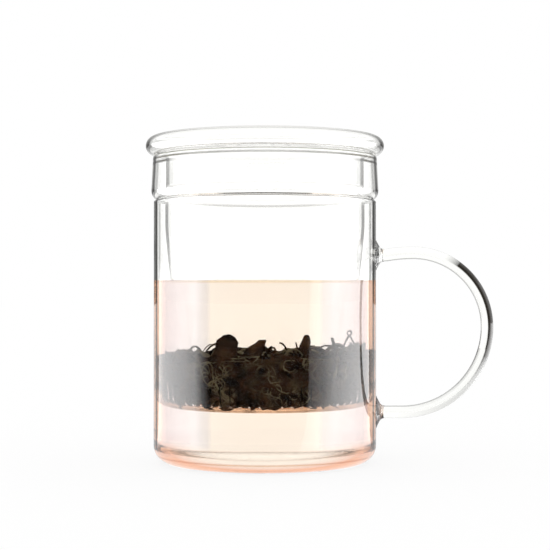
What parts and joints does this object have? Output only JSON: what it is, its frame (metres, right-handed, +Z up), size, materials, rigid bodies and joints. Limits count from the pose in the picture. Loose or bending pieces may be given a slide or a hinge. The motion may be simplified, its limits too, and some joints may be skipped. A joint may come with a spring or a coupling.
{
  "type": "lidded tea mug with infuser",
  "caption": "Straight clear glass tea mug with a round rod handle, a tapered glass infuser hanging on its rim and a loose glass lid with a rolled edge.",
  "frame": {"origin": "centre of the mug's base on the surface that it stands on, on the mug's axis", "axes": "+Z up along the mug's axis, +X towards the handle"},
  "size_m": [0.1346, 0.0922, 0.1258],
  "materials": {
    "clear_glass": "clear, fire polished",
    "tea_leaf": "dry curled black tea leaves",
    "tea": "pale pink infusion"
  },
  "bodies": {
    "mug": {"mug_body": "clear_glass", "handle_rod": "clear_glass", "handle_upper_weld": "clear_glass", "handle_lower_weld": "clear_glass"},
    "infuser": {"infuser_basket": "clear_glass", "infuser_collar": "clear_glass", "tea_leaves": "tea_leaf"},
    "lid": {"lid_dome": "clear_glass", "lid_plug_ring": "clear_glass"}
  },
  "joints": [
    {"name": "infuser_lift", "type": "slide", "parent": "mug", "child": "infuser", "axis": [0, 0, 1], "range_m": [0, 0.1]},
    {"name": "lid_lift", "type": "slide", "parent": "infuser", "child": "lid", "axis": [0, 0, 1], "range_m": [0, 0.04]}
  ]
}
